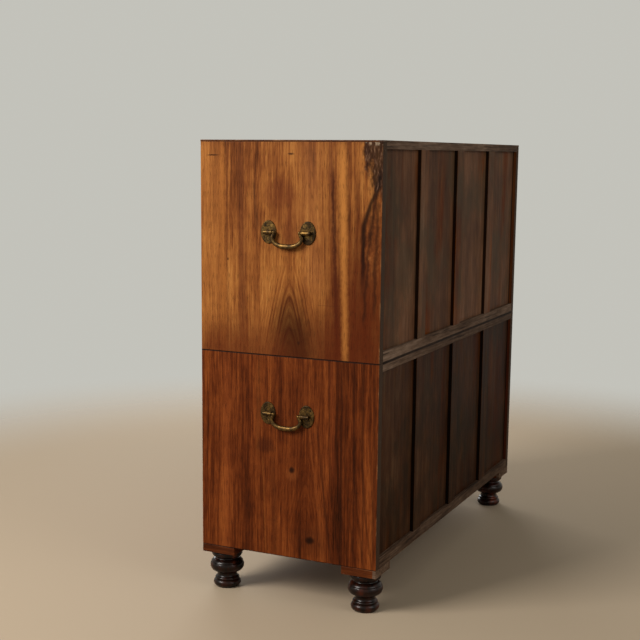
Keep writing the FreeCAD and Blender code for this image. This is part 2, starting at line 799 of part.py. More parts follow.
def drawer(name, left, right, low, high, pull_places):
    """A drawer in an opening: dovetailed front, sides and back, a bottom, and its brass."""
    width = f"({right} - {left} - 2 * drawer_gap)"
    front_height = f"({high} - {low} - drawer_gap - running_gap)"
    x = f"({left} + drawer_gap)"
    z = f"({low} + running_gap)"
    length = f"(case_depth - {back_thickness} - drawer_back_gap)"
    tip = "(drawer_front - drawer_tail_length)"
    side_height = f"({front_height} - drawer_side_drop)"
    back_low = "(drawer_bottom_rise + drawer_bottom)"
    back_high = f"({side_height} - drawer_back_drop)"
    front_pitch = f"({side_height} / {drawer_tail_count})"
    back_pitch = f"(({back_high} - {back_low}) / {drawer_tail_count})"
    pins = ("drawer_pin_narrow", "drawer_pin_wide")
    inner_rear = f"({length} - drawer_back)"
    front_tails = [
        tail_points(index, front_pitch, "0", *pins, "drawer_front", tip)
        for index in range(drawer_tail_count)
    ]
    back_tails = [
        tail_points(index, back_pitch, back_low, *pins, inner_rear, length)
        for index in range(drawer_tail_count)
    ]

    front = new_body(f"{name}_front", x, front_face, z)
    face = rectangle("0", width, "0", "drawer_front")
    pad(front, outline_sketch(front, "XY", [face]), front_height)
    soften(front, "front_wear", [("y", "0")])
    pocket(front, outline_sketch(front, "YZ", front_tails), "drawer_side", reverse=True)
    pocket(front, outline_sketch(front, "YZ", front_tails, lift=width), "drawer_side")
    groove = rectangle(
        "drawer_side", f"{width} - drawer_side", "drawer_bottom_rise", "drawer_bottom_rise + drawer_bottom"
    )
    pocket(front, outline_sketch(front, "XZ", [groove], lift="-drawer_front"), "drawer_groove", reverse=True)

    # the sinkings for the pulls, the lock and its keyhole
    fittings = []
    pull_height = f"({front_height} / 2 - pull_drop)"
    plates = []
    cups = []
    for pull_name, place_along in pull_places:
        plates.append(rectangle(
            f"{place_along} - pull_plate_width / 2", f"{place_along} + pull_plate_width / 2",
            f"{pull_height} - pull_plate_height / 2", f"{pull_height} + pull_plate_height / 2",
        ))
        cups.append(rectangle(
            f"{place_along} - cup_width / 2 - cup_wall", f"{place_along} + cup_width / 2 + cup_wall",
            f"{pull_height} - cup_height / 2 - cup_wall", f"{pull_height} + cup_height / 2 + cup_wall",
        ))
        fittings.append(pull(pull_name, f"({x} + {place_along})", f"({z} + {pull_height})")[0])
    pocket(front, outline_sketch(front, "XZ", plates), "pull_plate")
    pocket(front, outline_sketch(front, "XZ", cups), "cup_depth + cup_floor")
    middle = f"({width} / 2)"
    lock_low = f"({front_height} - lock_drop - lock_height)"
    lock_outline = rectangle(
        f"{middle} - lock_width / 2", f"{middle} + lock_width / 2", lock_low, f"{lock_low} + lock_height"
    )
    lock_sketch = outline_sketch(front, "XZ", [lock_outline], lift="-drawer_front")
    pocket(front, lock_sketch, "lock_depth", reverse=True)
    key_height = f"({front_height} - keyhole_drop)"
    disc = (middle, key_height, "escutcheon_radius")
    pocket(front, circle_sketch(front, "XZ", [disc]), "escutcheon_thickness")
    key_round = (middle, key_height, "keyhole_radius")
    key_slot = rectangle(
        f"{middle} - keyhole_slot / 2", f"{middle} + keyhole_slot / 2",
        f"{key_height} - keyhole_length", key_height,
    )
    pocket(front, circle_sketch(front, "XZ", [key_round]), "drawer_front")
    pocket(front, outline_sketch(front, "XZ", [key_slot]), "drawer_front")
    keep(front, f"{name}_front")

    escutcheon = new_body(f"{name}_escutcheon", x, front_face, z)
    pad(escutcheon, circle_sketch(escutcheon, "XZ", [disc]), "escutcheon_thickness", reverse=True)
    pocket(escutcheon, circle_sketch(escutcheon, "XZ", [key_round]), "escutcheon_thickness")
    pocket(escutcheon, outline_sketch(escutcheon, "XZ", [key_slot]), "escutcheon_thickness")
    lock_back = f"{front_face} + drawer_front"
    lock = box(
        f"{name}_lock",
        (f"{x} + {middle} - lock_width / 2", f"{lock_back} - lock_depth", f"{z} + {lock_low}"),
        (f"{x} + {middle} + lock_width / 2", lock_back, f"{z} + {lock_low} + lock_height"),
    )
    keep(together(f"{name}_fittings", fittings + [escutcheon, lock]), f"{name}_brass")

    board = new_body(f"{name}_side", x, front_face, z)
    side_outline = [("drawer_front", "0")]
    for tail in front_tails:
        side_outline += tail
    side_outline += [
        ("drawer_front", side_height), (length, side_height), (length, back_high), (inner_rear, back_high)
    ]
    for tail in reversed(back_tails):
        side_outline += reversed(tail)
    side_outline += [(inner_rear, back_low), (length, back_low), (length, "0")]
    pad(board, outline_sketch(board, "YZ", [side_outline]), "drawer_side")
    side_groove = rectangle(tip, length, "drawer_bottom_rise", "drawer_bottom_rise + drawer_bottom")
    pocket(board, outline_sketch(board, "YZ", [side_groove], lift="drawer_side"), "drawer_groove")
    other_board = mirrored(f"{name}_other_side", board, (1, 0, 0), f"{x} + {middle}")
    back = new_body(f"{name}_back", x, front_face, z)
    back_outline = rectangle("0", width, inner_rear, length)
    pad(back, outline_sketch(back, "XY", [back_outline], lift=back_low), f"{back_high} - {back_low}")
    pocket(back, outline_sketch(back, "YZ", back_tails), "drawer_side", reverse=True)
    pocket(back, outline_sketch(back, "YZ", back_tails, lift=width), "drawer_side")
    keep(together(f"{name}_boards", [board, other_board, back]), f"{name}_sides_back")

    bottom = box(
        f"{name}_bottom",
        (f"{x} + drawer_side - drawer_groove", f"{front_face} + drawer_front - drawer_groove",
         f"{z} + drawer_bottom_rise"),
        (f"{x} + {width} - drawer_side + drawer_groove", f"{front_face} + {length}",
         f"{z} + drawer_bottom_rise + drawer_bottom"),
    )
    keep(bottom, f"{name}_bottom")


# the five drawers: two short ones above three long ones
short_middle = f"(({inner_width} / 2 - partition_thickness / 2 - 2 * drawer_gap) / 2)"
long_width = f"({inner_width} - 2 * drawer_gap)"
drawer(
    "short_left", inner_left, "(-partition_thickness / 2)", upper_blade_top, top_underside,
    [("short_left_pull", short_middle)],
)
drawer(
    "short_right", "(partition_thickness / 2)", inner_right, upper_blade_top, top_underside,
    [("short_right_pull", short_middle)],
)
for name, low, high in (
    ("long_upper", upper_floor, f"({upper_blade_top} - blade_thickness)"),
    ("long_middle", lower_blade_top, lower_ceiling),
    ("long_lower", lower_floor, f"({lower_blade_top} - blade_thickness)"),
):
    drawer(
        name, inner_left, inner_right, low, high,
        [(f"{name}_pull_left", "pull_inset"), (f"{name}_pull_right", f"({long_width} - pull_inset)")],
    )


handle_x = f"({right_end} + handle_out)"
# from the middle of a carrying handle's bar to where its bends begin
grip_half = "(handle_bulge - handle_bend)"
# above the bends each arm leans in under its bead, upright at both ends of two like arcs
bend_top = "(handle_drop - handle_bend)"
arm_lean = "(handle_bulge - bead_place)"
arm_rise = f"({bend_top} - handle_neck)"
arm_round = f"(({arm_lean} * {arm_lean} + {arm_rise} * {arm_rise}) / (4 * {arm_lean}))"
grip_swell = "(handle_middle_radius - handle_end_radius)"
grip_round = f"(({grip_half} * {grip_half} + {grip_swell} * {grip_swell}) / (2 * {grip_swell}))"


def carrying_handle(name, height):
    """The swinging bail at the right-hand end, turned on pins in the barrels, and its mirror image."""
    arm = new_body(f"{name}_arm", handle_x, "0", height)
    ring = circle_sketch(arm, "XZ", [("0", "-handle_drop", "handle_end_radius")], lift=f"-{grip_half}")
    path = path_sketch(arm, "YZ", [
        (grip_half, "-handle_drop", "handle_bend", -1),
        ("handle_bulge", f"-{bend_top}", arm_round, -1),
        (f"(handle_bulge - {arm_lean} / 2)", f"-({bend_top} - {arm_rise} / 2)", arm_round, 1),
        ("bead_place", "-handle_neck"),
        ("bead_place", "0"),
    ])
    doc.recompute([ring, path])
    bar = arm.newObject("PartDesign::AdditivePipe", f"{name}_arm_bar")
    bar.Profile = ring
    bar.Spine = (path, [])

    grip = new_body(f"{name}_grip", handle_x, "0", f"({height} - handle_drop)")
    outline = [
        (f"-{grip_half}", "0"),
        (grip_half, "0"),
        (grip_half, "handle_end_radius", grip_round, -1),
        (f"-{grip_half}", "handle_end_radius"),
    ]
    sketch = outline_sketch(grip, "YZ", [outline])
    turning = grip.newObject("PartDesign::Revolution", f"{name}_grip_turning")
    turning.Profile = sketch
    turning.ReferenceAxis = (sketch, ["H_Axis"])
    turning.Angle = 360

    bead = doc.addObject("Part::Sphere", f"{name}_bead")
    bead.setExpression("Radius", cells("bead_radius"))
    place(bead, handle_x, "bead_place", height)
    pin = rod(f"{name}_pin", "handle_pin_radius", "handle_pin_end - bead_place",
              handle_x, "bead_place", height, (0, 1, 0))
    near = joined(f"{name}_handle_half", [arm, bead, pin])
    far = mirrored(f"{name}_handle_other_half", near, (0, 1, 0))
    right = joined(f"{name}_whole_handle", [near, grip, far])
    keep(right, f"{name}_right_handle")
    keep(mirrored(f"{name}_left_handle", right, (1, 0, 0)), f"{name}_left_handle")


# the oval of a rosette: an arc at each end, an arc along each side, and where the two meet
rosette_end = "(rosette_height / 2 - rosette_end_radius)"
rosette_side_radius = (
    f"(({rosette_end} * {rosette_end} + rosette_width * rosette_width / 4"
    " - rosette_end_radius * rosette_end_radius) / (rosette_width - 2 * rosette_end_radius))"
)
rosette_share = f"(rosette_end_radius / ({rosette_side_radius} - rosette_end_radius))"
rosette_meet_across = f"({rosette_share} * ({rosette_side_radius} - rosette_width / 2))"
rosette_meet_up = f"({rosette_end} * (1 + {rosette_share}))"


def rosettes(name, height):
    """The four oval plates of a case's two handles, each with the barrel that a pin turns in."""
    plate = new_body(f"{name}_plate", right_end, "rosette_spread / 2", height)
    oval = [
        (rosette_meet_across, rosette_meet_up, "rosette_end_radius", -1),
        (f"-{rosette_meet_across}", rosette_meet_up, rosette_side_radius, -1),
        (f"-{rosette_meet_across}", f"-{rosette_meet_up}", "rosette_end_radius", -1),
        (rosette_meet_across, f"-{rosette_meet_up}", rosette_side_radius, -1),
    ]
    pad(plate, outline_sketch(plate, "YZ", [oval]), "rosette_thickness")
    soften(plate, "rosette_round", [("x", "rosette_thickness")], along="")
    barrel = rod(f"{name}_barrel", "barrel_radius", "barrel_length",
                 handle_x, "barrel_inner", height, (0, 1, 0))
    boss = box(
        f"{name}_boss",
        (f"{right_end} + rosette_thickness / 2", "barrel_inner + boss_half_height / 2",
         f"{height} - boss_half_height"),
        (handle_x, "barrel_inner + barrel_length - boss_half_height / 2", f"{height} + boss_half_height"),
    )
    body = joined(f"{name}_casting", [plate, barrel, boss])
    pin_depth = "(handle_pin_end - barrel_inner + pin_clearance)"
    tools = [
        rod(f"{name}_pin_hole", "handle_pin_radius + pin_clearance", pin_depth,
            handle_x, "barrel_inner", height, (0, 1, 0))
    ]
    for y, z in screw_places[3:]:
        tools.append(
            rod(f"{name}_screw_hole", "screw_shank_radius + glue_gap", "rosette_thickness",
                right_end, y, f"{height} + {z}", (1, 0, 0))
        )
        tools.append(
            rod(f"{name}_screw_seat", "screw_seat_radius", "handle_out",
                f"{right_end} + rosette_thickness - screw_sunk", y, f"{height} + {z}", (1, 0, 0))
        )
    rosette = cut_from(f"{name}_rosette", body, tools)
    partner = mirrored(f"{name}_partner", rosette, (0, 1, 0))
    pair = together(f"{name}_pair", [rosette, partner])
    far_pair = mirrored(f"{name}_far_pair", pair, (1, 0, 0))
    keep(together(f"{name}_rosette_set", [pair, far_pair]), f"{name}_rosettes")


def handle_screws(name, height):
    """The slotted screws that hold the rosettes of a case."""
    screws = []
    seat = "(rosette_thickness - screw_sunk)"
    for y, z in screw_places:
        shank = rod(f"{name}_shank", "screw_shank_radius", "screw_length - screw_sunk",
                    f"{right_end} + {seat} - (screw_length - screw_sunk)", y, f"{height} + {z}", (1, 0, 0))
        head = rod(f"{name}_head", "screw_head_radius", "screw_head",
                   f"{right_end} + {seat}", y, f"{height} + {z}", (1, 0, 0))
        slot = box(
            f"{name}_slot",
            (f"{right_end} + {seat} + screw_head / 2", f"{y} - screw_head_radius",
             f"{height} + {z} - screw_slot / 2"),
            (f"{right_end} + {seat} + 2 * screw_head", f"{y} + screw_head_radius",
             f"{height} + {z} + screw_slot / 2"),
        )
        screws.append(cut_from(f"{name}_screw", joined(f"{name}_blank", [shank, head]), [slot]))
    near = together(f"{name}_near_screws", screws)
    far = mirrored(f"{name}_far_screws", near, (1, 0, 0))
    keep(together(f"{name}_screw_set", [near, far]), f"{name}_handle_screws")


for name, height in (("upper", "upper_handle_height"), ("lower", "lower_handle_height")):
    rosettes(name, height)
    handle_screws(name, height)
    carrying_handle(name, height)

doc.recompute()

for item in doc.Objects:
    if {"Invalid", "Error"} & set(item.State):
        raise RuntimeError(f"{item.Label} could not be made: {item.State}")
for feature in cuts:
    if feature.Shape.Volume > feature.BaseFeature.Shape.Volume - tolerance:
        raise RuntimeError(f"{feature.Label} cuts nothing")
os.makedirs("parts", exist_ok=True)
for piece in kept:
    if piece.Shape.isNull() or not piece.Shape.isValid() or piece.Shape.Volume <= 0:
        raise RuntimeError(f"{piece.Label} has no sound shape")
    piece.Shape.exportStep(f"parts/{piece.Label}.step")
print(len(kept), "sub-parts,", sum(len(piece.Shape.Solids) for piece in kept), "solids")
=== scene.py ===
import math
import bmesh
import bpy
from mathutils import Matrix, Quaternion, Vector


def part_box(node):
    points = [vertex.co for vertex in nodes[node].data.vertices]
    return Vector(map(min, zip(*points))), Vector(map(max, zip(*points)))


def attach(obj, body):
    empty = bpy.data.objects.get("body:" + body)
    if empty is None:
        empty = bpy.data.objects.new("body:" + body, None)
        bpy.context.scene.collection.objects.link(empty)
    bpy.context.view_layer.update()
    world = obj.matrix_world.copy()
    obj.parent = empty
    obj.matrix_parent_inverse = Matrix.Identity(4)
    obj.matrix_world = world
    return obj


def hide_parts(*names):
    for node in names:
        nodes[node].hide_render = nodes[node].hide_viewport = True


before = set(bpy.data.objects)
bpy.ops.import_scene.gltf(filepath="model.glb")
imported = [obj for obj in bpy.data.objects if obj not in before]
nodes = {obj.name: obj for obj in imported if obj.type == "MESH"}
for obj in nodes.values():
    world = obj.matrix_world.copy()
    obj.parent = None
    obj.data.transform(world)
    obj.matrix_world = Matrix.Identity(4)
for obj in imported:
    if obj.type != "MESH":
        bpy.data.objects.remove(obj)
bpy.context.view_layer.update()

# The view. The camera looks at the right-hand end and at the back through a long lens, from a
# little under the height of the top. A large soft lamp stands at the upper left, and two weaker
# ones light the front and the back.
eye = Vector((2.796, 1.141, 0.986))
yaw = math.radians(25.17)
pitch = math.radians(9.30)
roll = math.radians(0.513)
flat = math.cos(pitch)
ahead = Vector((-math.cos(yaw) * flat, -math.sin(yaw) * flat, -math.sin(pitch)))
lens = bpy.data.cameras.new("view")
lens.sensor_width = 36
lens.lens = 67.84
lens.shift_x = 0.0105
lens.shift_y = 0.050
camera = bpy.data.objects.new("view", lens)
camera.rotation_mode = "QUATERNION"
camera.rotation_quaternion = ahead.to_track_quat("-Z", "Y") @ Quaternion((0, 0, 1), roll)
camera.location = eye
bpy.context.scene.collection.objects.link(camera)
bpy.context.scene.camera = camera
bpy.context.scene.view_settings.view_transform = "Standard"


def soft_lamp(name, place, target, width, power, colour):
    """A square lamp that faces the chest."""
    lamp = bpy.data.lights.new(name, "AREA")
    lamp.size = width
    lamp.energy = power
    lamp.color = colour
    holder = bpy.data.objects.new(name, lamp)
    holder.location = place
    holder.rotation_mode = "QUATERNION"
    holder.rotation_quaternion = (Vector(target) - Vector(place)).to_track_quat("-Z", "Y")
    bpy.context.scene.collection.objects.link(holder)


soft_lamp("key_lamp", (2.9, -1.9, 2.5), (0.2, 0, 0.7), 1.7, 150, (1, 0.97, 0.93))
soft_lamp("left_fill", (-2.8, -2.0, 1.8), (0, 0, 0.6), 2.2, 70, (0.96, 0.98, 1))
soft_lamp("back_fill", (1.0, 3.6, 2.6), (0, 0, 0.6), 2.4, 40, (1, 0.99, 0.97))


# The floor is a plain pale sheet. It fades out at a distance, so that the pale surroundings
# stand behind the chest without a line.
class Tone:
    """A value in a finish: sums and products of tones are worked out all over the surface."""

    def __init__(self, socket):
        self.socket = socket
        self.tree = socket.id_data

    def node(self, kind, settings, sockets, output=0):
        made = self.tree.nodes.new(f"ShaderNode{kind}")
        for name, value in settings.items():
            if name != "stops":
                setattr(made, name, value)
                continue
            for place, colour in value[2:]:
                made.color_ramp.elements.new(place)
            for stop, (place, colour) in zip(made.color_ramp.elements, sorted(value)):
                stop.position = place
                stop.color = colour
        for name, value in sockets.items():
            if isinstance(value, Tone):
                self.tree.links.new(value.socket, made.inputs[name])
            else:
                made.inputs[name].default_value = value
        if isinstance(output, int):
            return Tone(made.outputs[output])
        return [Tone(made.outputs[name]) for name in output]

    def math(self, operation, other=0.0):
        return self.node("Math", {"operation": operation}, {0: self, 1: other})

    def __add__(self, other):
        return self.math("ADD", other)

    def __sub__(self, other):
        return self.math("SUBTRACT", other)

    def __mul__(self, other):
        return self.math("MULTIPLY", other)

    def __truediv__(self, other):
        return self.math("DIVIDE", other)

    def __rsub__(self, other):
        return (self * -1) + other

    __radd__ = __add__
    __rmul__ = __mul__

    def between(self, low, high):
        """Rises smoothly from 0 at low to 1 at high."""
        smooth = {"interpolation_type": "SMOOTHSTEP"}
        return self.node("MapRange", smooth, {"Value": self, "From Min": low, "From Max": high})

    def ramp(self, stops):
        return self.node("ValToRGB", {"stops": stops}, {0: self})

    def mix(self, first, second):
        """The first colour where this tone is 0, and the second where it is 1."""
        return self.node("Mix", {"data_type": "RGBA"}, {0: self, 6: first, 7: second}, output=2)


def seen(red, green, blue):
    """A colour as it is seen on a screen, out of 255."""
    levels = [level / 255 for level in (red, green, blue)]
    linear = [level / 12.92 if level < 0.04 else ((level + 0.055) / 1.055) ** 2.4 for level in levels]
    return linear + [1]


def new_finish(name, sheen=0.05):
    """A material, its shader, and the place of its points as three tones."""
    material = bpy.data.materials.new(name)
    material.use_nodes = True
    tree = material.node_tree
    shader = tree.nodes["Principled BSDF"]
    shader.inputs["Specular IOR Level"].default_value = sheen
    places = Tone(tree.nodes.new("ShaderNodeTexCoord").outputs["Object"])
    return material, shader, places.node("SeparateXYZ", {}, {0: places}, output="XYZ")


fade_start, fade_end = 1.3, 2.5
bpy.ops.object.select_all(action="DESELECT")
bpy.ops.mesh.primitive_circle_add(vertices=96, radius=9, fill_type="NGON")
floor = bpy.context.object
floor.name = "floor"
floor_finish, floor_shader, (x, y, z) = new_finish("pale_floor")
floor_shader.inputs["Base Color"].default_value = seen(174, 156, 133)
floor_shader.inputs["Roughness"].default_value = 0.7
far = (x * x + y * y).math("SQRT").between(fade_start, fade_end)
floor_tree = floor_finish.node_tree
clear = Tone(floor_tree.nodes.new("ShaderNodeBsdfTransparent").outputs[0])
edge = far.node("MixShader", {}, {0: far, 1: Tone(floor_shader.outputs[0]), 2: clear})
floor_tree.links.new(edge.socket, floor_tree.nodes["Material Output"].inputs["Surface"])
floor.data.materials.append(floor_finish)

room_light, backdrop_light = 0.33, 0.36
world = bpy.data.worlds.new("surroundings")
bpy.context.scene.world = world
world.use_nodes = True
air = world.node_tree.nodes["Background"]
ray = world.node_tree.nodes.new("ShaderNodeLightPath")
shown = Tone(ray.outputs["Is Camera Ray"])
mirrored = Tone(ray.outputs["Is Glossy Ray"])
strength = (shown + mirrored) * backdrop_light + room_light
world.node_tree.links.new(strength.socket, air.inputs["Strength"])
air.inputs["Color"].default_value = seen(230, 229, 220)


# The end boards are thick flat-sawn hardwood with the grain upright and an old wax polish,
# dovetailed out of sight to the tops and floors of the cases. Each has its own figure, and its
# rear edge took the dark stain of the back.
half_width, half_depth = 0.498, 0.214
joint_height, top_height, underside = 0.555, 1.016, 0.105
inner_face, lap_start = 0.480, 0.190
upper_box = ((-half_width, -half_depth, joint_height), (half_width, half_depth, top_height))
lower_box = ((-half_width, -half_depth, underside), (half_width, half_depth, joint_height))


def noise(across, along, through, detail=2.0, spread=0.5):
    spot = across.node("CombineXYZ", {}, {0: across, 1: along, 2: through})
    sockets = {"Vector": spot, "Scale": 1, "Detail": detail, "Roughness": spread}
    return spot.node("TexNoise", {}, sockets)


def connect(shader, bump, bump_height, **sockets):
    """Joins tones to a shader's sockets, with a bump whose tone is a height in metres."""
    for name, value in sockets.items():
        socket = shader.inputs[name.replace("_", " ").title()]
        if isinstance(value, Tone):
            value.tree.links.new(value.socket, socket)
        else:
            socket.default_value = value
    relief = bump.node("Bump", {}, {"Height": bump, "Distance": bump_height, "Strength": 1})
    relief.tree.links.new(relief.socket, shader.inputs["Normal"])


def give(material, *names):
    for name in names:
        for slot in nodes[name].material_slots:
            slot.material = material


def laid_out(axes, places):
    """The tones of a place across, along and through a board."""
    return [places["xyz".index(axis)] for axis in axes]


def arris(places, low, high, width, axes="xyz"):
    """1 on the sharp edges of a block where two of its faces meet, and 0 a width away from them."""
    near = []
    for axis in axes:
        index = "xyz".index(axis)
        middle = (low[index] + high[index]) / 2
        reach = (places[index] - middle).math("ABSOLUTE")
        half = (high[index] - low[index]) / 2
        near.append(reach.between(half - width, half))
    pairs = near[0] * near[1]
    for last in near[2:]:
        pairs = pairs + near[0] * last + near[1] * last
    return pairs.between(0, 1)


def patch(across, along, middle, reach):
    """1 in the middle of an oval and 0 at its rim."""
    u = (across - middle[0]) / reach[0]
    w = (along - middle[1]) / reach[1]
    return (u * u + w * w).between(1, 0)


def streak(across, along, start, end, width):
    """1 along a slanting line through a board, fading to 0 at its sides and past its ends."""
    slope = (end[0] - start[0]) / (end[1] - start[1])
    off = (across - start[0] - (along - start[1]) * slope).math("ABSOLUTE")
    low, high = sorted((start[1], end[1]))
    fade = 0.1 * (high - low)
    begun = along.between(low - fade, low + fade)
    unended = along.between(high + fade, high - fade)
    return off.between(width, 0) * begun * unended


def figure(across, along, through, seed, broad=1.0, fine=1.0):
    """The tone of the wood: bands, stripes, fibres and short dashes along the grain, about 0.5."""
    bands = noise(across * 17 + seed, along * 0.9, through * 5, 1.5)
    stripes = noise(across * 75 + seed, along * 2.2, through * 20, 3)
    fibres = noise(across * 430 + seed, along * 9, through * 200, 2)
    flecks = noise(across * 26 + seed, along * 11, through * 9, 2)
    dashes = noise(across * 300 + seed, along * 34, through * 200, 2)
    return (
        (bands - 0.5) * (1.05 * broad) + (stripes - 0.5) * (0.9 * fine)
        + (fibres - 0.5) * (0.9 * fine) + (flecks - 0.5) * 0.5
        + (dashes - 0.5) * (0.55 * fine) + 0.5
    )


def pores(across, along, through, seed):
    """Short dark dashes along the grain."""
    dashes = noise(across * 1500 + seed, along * 45, through * 1500, 1)
    return dashes.between(0.60, 0.72)


def wood_ramp(dark, brown, bright, pale):
    return [(0.0, dark), (0.38, brown), (0.66, bright), (1.0, pale)]


upper_tones = wood_ramp(seen(68, 32, 12), seen(118, 65, 29), seen(150, 92, 43), seen(180, 120, 60))
# The lower case's tones are darker than the upper's: partly its own wood, partly painted shade low down
# near the floor.
lower_tones = wood_ramp(seen(44, 17, 5), seen(84, 36, 12), seen(112, 54, 21), seen(142, 76, 32))
back_stain = seen(66, 50, 38)
worn_wood = seen(168, 122, 80)
old_dirt = seen(26, 16, 11)


def nested_arches(across, along, heart, peak, lean):
    """Across the grain, from a heart line that the growth rings leave in pointed arches."""
    off = across - heart
    blunt_tip = 0.00012
    return (off * off + blunt_tip).math("SQRT") - (along * -1 + peak) * lean


def end_board(name, box, tones, heart, peak, seed, arches, marks):
    """A finish with arches of a strength up to 1 about a heart line, and with marks of its own."""
    case_low, case_high = box
    material, shader, places = new_finish(name)
    x, y, z = places
    wander = noise(y * 4, z * 1.5, x + seed, 2) - 0.5
    straight = y + wander * 0.022
    rings = nested_arches(straight, z, heart, peak, 0.19)
    arched = patch(y + wander * 0.03, z, (heart, peak - 0.10), (0.085, 0.15)) * arches
    tone = figure(straight, z, x, seed)
    ring_tone = figure(rings, z, x, seed + 2.0)
    ring_gap = 0.0062
    lines = (rings * (2 * math.pi / ring_gap) + noise(y * 30, z * 7, x, 3) * 4).math("SINE")
    tone = tone + (ring_tone - tone + lines * 0.11) * arched
    holes = pores(y, z, x, seed)
    worn = arris(places, case_low, case_high, 0.0035, "xy")
    scuffed = worn * noise(x * 90, y * 90, z * 20, 6, 0.72).between(0.50, 0.68)
    handled = noise(y * 3.2, z * 2.6, x * 3 + seed, 3)
    clouds = noise(y * 13, z * 6, x * 3 + seed, 3)
    tone = tone + (handled - 0.5) * 0.35 + (clouds - 0.5) * 0.55
    colour = tone.ramp(tones)
    if marks:
        colour = marks(y, z, x, colour)
    colour = (holes * 0.45).mix(colour, old_dirt)
    colour = (scuffed * 0.65).mix(colour, worn_wood)
    middle, half_height = (case_low[2] + case_high[2]) / 2, (case_high[2] - case_low[2]) / 2
    ends = (z - middle).math("ABSOLUTE") - half_height
    colour = (ends.between(-0.0024, -0.0008) * 0.92).mix(colour, old_dirt)
    inner = x.math("ABSOLUTE").between(inner_face + 0.003, inner_face)
    lap = inner * y.between(lap_start, lap_start + 0.006)
    colour = (lap * 0.8).mix(colour, seen(84, 40, 22))
    rear = y.between(half_depth - 0.0012, half_depth - 0.0003)
    colour = rear.mix(colour, back_stain)
    shine = (handled - 0.5) * 0.25 + holes * 0.2 + rear * 0.25 + 0.40
    height = tone * 0.25 - holes + noise(y * 30, z * 8, x * 30, 2) * 0.8
    connect(shader, height, 0.00025, base_color=colour, roughness=shine)
    return material


